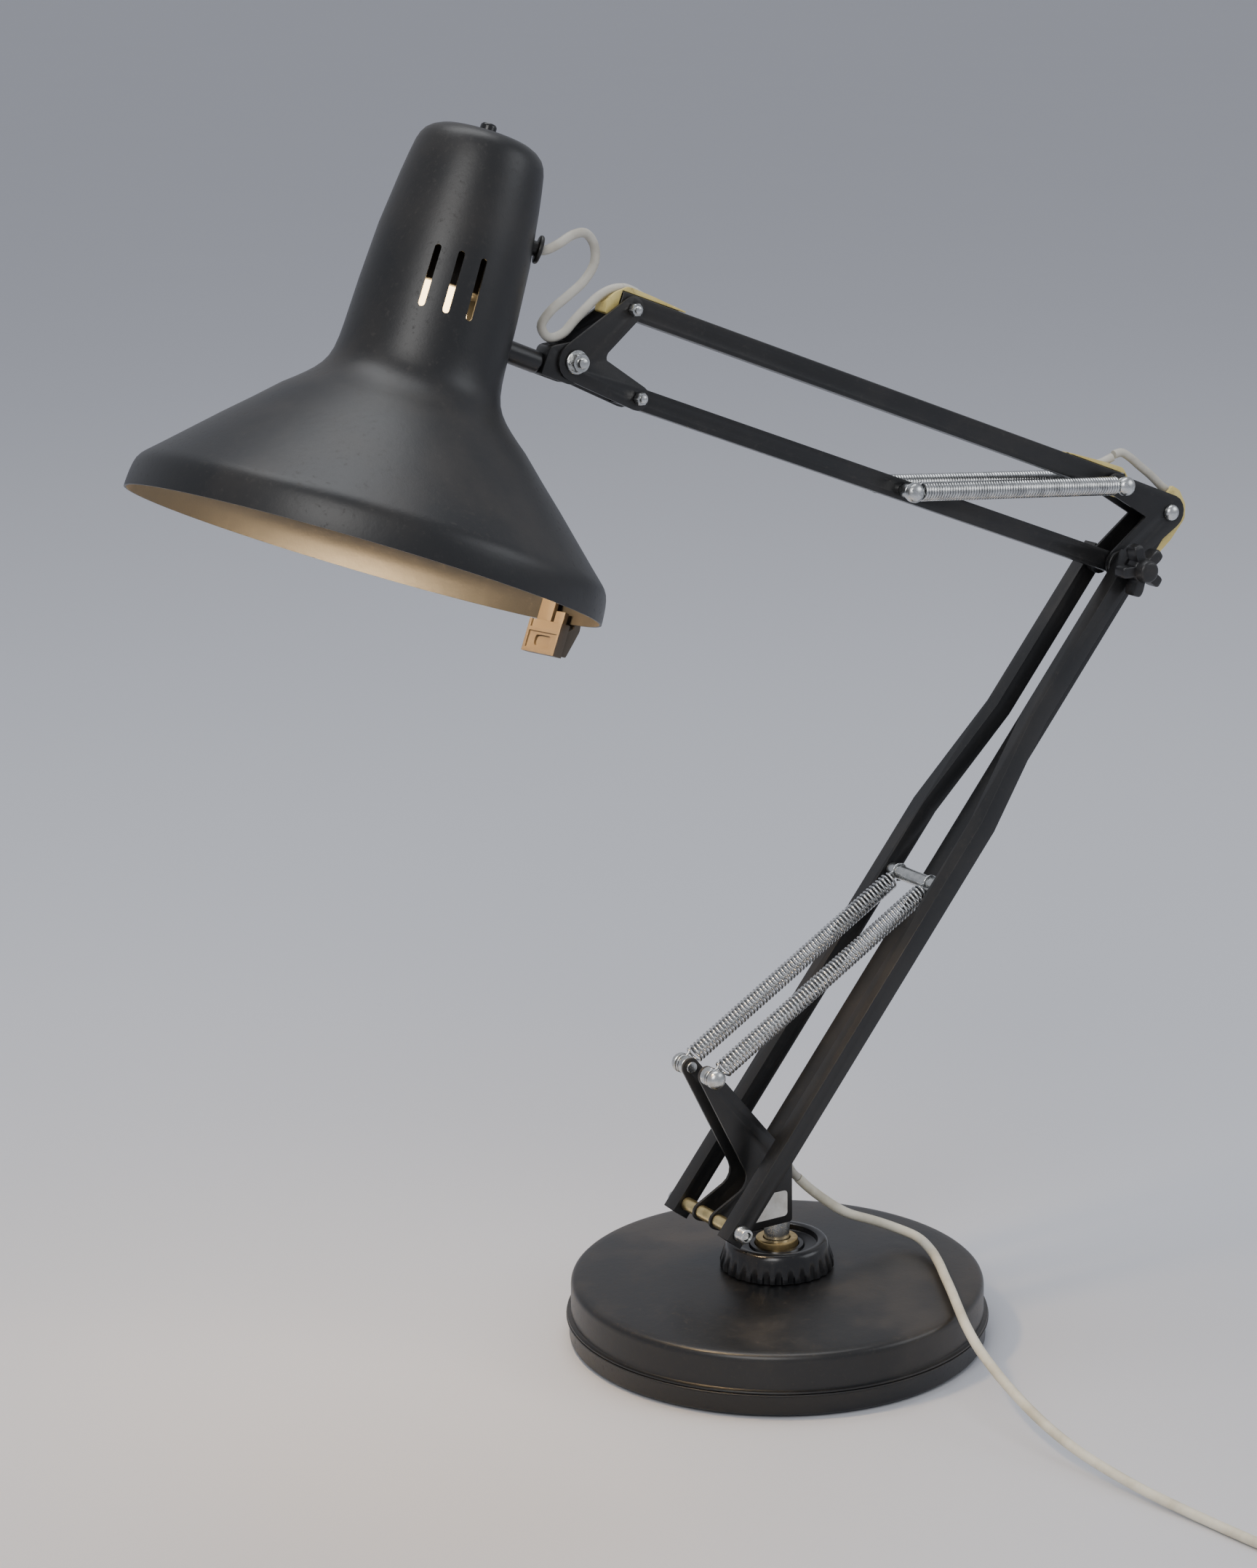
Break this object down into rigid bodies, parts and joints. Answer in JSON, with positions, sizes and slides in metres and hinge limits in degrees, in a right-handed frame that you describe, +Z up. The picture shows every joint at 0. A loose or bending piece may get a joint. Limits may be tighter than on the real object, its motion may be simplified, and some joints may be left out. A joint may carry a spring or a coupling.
{
  "type": "architect desk lamp",
  "caption": "Spring-balanced double-arm desk lamp with a round weighted base, a flared metal shade and a cord led along the arms.",
  "frame": {"origin": "centre of the round base, on the table under the felt", "axes": "+Z up; the arms fold in the XZ plane with the head reaching towards -X; every arm pivot runs along Y; the hand knob of the elbow is on the -Y side"},
  "size_m": [0.5839, 0.5448, 0.6205],
  "materials": {
    "paint": "black satin enamel with fine dust",
    "zinc": "zinc plated, slightly dulled",
    "spring_steel": "bright drawn wire",
    "yellow_zinc": "yellow passivated steel tube",
    "iron": "rough cast",
    "felt": "pressed felt",
    "black_plastic": "moulded, slightly worn",
    "gloss_black_plastic": "ribbed moulding with a soft shine",
    "ivory_plastic": "yellowed ivory moulding",
    "cable": "off-white flexible sheath",
    "plug": "moulded off-white",
    "label": "plain pale sticker",
    "bulb": "lit opal glass",
    "brown_plastic": "dark moulding"
  },
  "bodies": {
    "base": {"felt_pad": "felt", "base_pan": "paint", "base_weight": "iron", "base_cover": "paint", "pivot_bush": "zinc", "mains_cord": "cable", "cord_coil": "cable", "mains_plug": "plug"},
    "collar": {"clamp_collar": "gloss_black_plastic"},
    "bracket": {"bracket_post": "zinc", "bottom_bracket": "paint", "bracket_label": "label", "stud_far": "zinc", "stud_near": "zinc", "rear_pivot_pin": "zinc"},
    "lower_arm": {"outer_bar_near": "paint", "outer_bar_far": "paint", "front_pivot_bolt": "zinc", "front_pivot_nut": "zinc", "spacer_near": "yellow_zinc", "spacer_mid": "yellow_zinc", "spacer_far": "yellow_zinc", "spring_cross_pin": "zinc", "elbow_bolt": "zinc", "elbow_washer_near": "black_plastic", "elbow_washer_far": "black_plastic", "lower_spring_near": "spring_steel", "lower_spring_far": "spring_steel"},
    "knob": {"elbow_knob": "black_plastic"},
    "rear_link": {"rear_bar": "paint", "corner_guide": "ivory_plastic", "lower_cord": "cable"},
    "elbow": {"elbow_plate_near": "paint", "elbow_plate_far": "paint", "top_pivot_pin": "zinc", "corner_rivet": "zinc"},
    "upper_arm": {"lower_bar": "paint", "upper_spring_pin": "zinc", "upper_spring_near": "spring_steel", "upper_spring_far": "spring_steel"},
    "top_link": {"upper_bar": "paint", "head_end_guide": "ivory_plastic", "elbow_end_guide": "ivory_plastic", "upper_cord": "cable"},
    "head_bracket": {"head_plate_near": "paint", "head_plate_far": "paint", "head_top_bolt": "zinc", "head_bottom_bolt": "zinc", "tilt_bolt": "zinc"},
    "knuckle": {"tilt_knuckle": "paint", "shade_stub": "paint"},
    "head": {"shade": "paint", "stub_nut": "zinc", "cord_grommet": "black_plastic", "lamp_socket": "black_plastic", "bulb": "bulb", "clip_body": "brown_plastic"},
    "switch": {"switch_button": "black_plastic"},
    "clip": {"clip_lever": "brown_plastic"}
  },
  "joints": [
    {"name": "base_swivel", "type": "hinge", "parent": "base", "child": "bracket", "pos_m": [0, 0, 0.04], "axis": [0, 0, 1], "range_deg": [-100, 100], "deforming": ["mains_cord"]},
    {"name": "collar_turn", "type": "hinge", "parent": "base", "child": "collar", "pos_m": [0, 0, 0.045], "axis": [0, 0, 1], "range_deg": [-30, 30]},
    {"name": "lower_arm_lift", "type": "hinge", "parent": "bracket", "child": "lower_arm", "pos_m": [-0.0412, 0, 0.0725], "axis": [0, -1, 0], "range_deg": [-2.5, 42], "deforming": ["lower_spring_near", "lower_spring_far"]},
    {"name": "elbow_level", "type": "hinge", "parent": "lower_arm", "child": "elbow", "pos_m": [0.20621, 0, 0.37694], "axis": [0, -1, 0], "range_deg": [-42.5, 3]},
    {"name": "rear_link_swing", "type": "hinge", "parent": "bracket", "child": "rear_link", "pos_m": [-0.0069, 0, 0.0955], "axis": [0, -1, 0], "range_deg": [-3, 42.5], "deforming": ["lower_cord"]},
    {"name": "knob_turn", "type": "hinge", "parent": "lower_arm", "child": "knob", "pos_m": [0.20621, -0.027, 0.37694], "axis": [0, 1, 0], "range_deg": [-60, 180]},
    {"name": "upper_arm_lift", "type": "hinge", "parent": "elbow", "child": "upper_arm", "pos_m": [0.20621, 0, 0.37694], "axis": [0, 1, 0], "range_deg": [-28, 22], "deforming": ["upper_spring_near", "upper_spring_far"]},
    {"name": "top_link_swing", "type": "hinge", "parent": "elbow", "child": "top_link", "pos_m": [0.20401, 0, 0.41854], "axis": [0, 1, 0], "range_deg": [-28.5, 22.5]},
    {"name": "head_level", "type": "hinge", "parent": "upper_arm", "child": "head_bracket", "pos_m": [-0.0814, 0, 0.48908], "axis": [0, 1, 0], "range_deg": [-22.5, 28.5]},
    {"name": "head_tilt", "type": "hinge", "parent": "head_bracket", "child": "knuckle", "pos_m": [-0.115, 0, 0.50898], "axis": [0, -1, 0], "range_deg": [-40, 35], "deforming": ["upper_cord"]},
    {"name": "head_turn", "type": "hinge", "parent": "knuckle", "child": "head", "pos_m": [-0.1855, 0, 0.53225], "axis": [0.9212, 0, -0.3891], "range_deg": [-80, 80]},
    {"name": "switch_press", "type": "slide", "parent": "head", "child": "switch", "axis": [-0.388, -0.0767, -0.9185], "range_m": [0, 0.0025], "stiffness_N_per_m": 400},
    {"name": "clip_squeeze", "type": "hinge", "parent": "head", "child": "clip", "pos_m": [-0.13162, -0.00758, 0.37511], "axis": [-0.0459, 0.9969, -0.0639], "range_deg": [0, 12], "stiffness_Nm_per_rad": 0.4}
  ],
  "couplings": [
    {"joint": "elbow_level", "follows": "lower_arm_lift", "ratio": -1},
    {"joint": "rear_link_swing", "follows": "lower_arm_lift", "ratio": 1},
    {"joint": "top_link_swing", "follows": "upper_arm_lift", "ratio": 1},
    {"joint": "head_level", "follows": "upper_arm_lift", "ratio": -1}
  ]
}
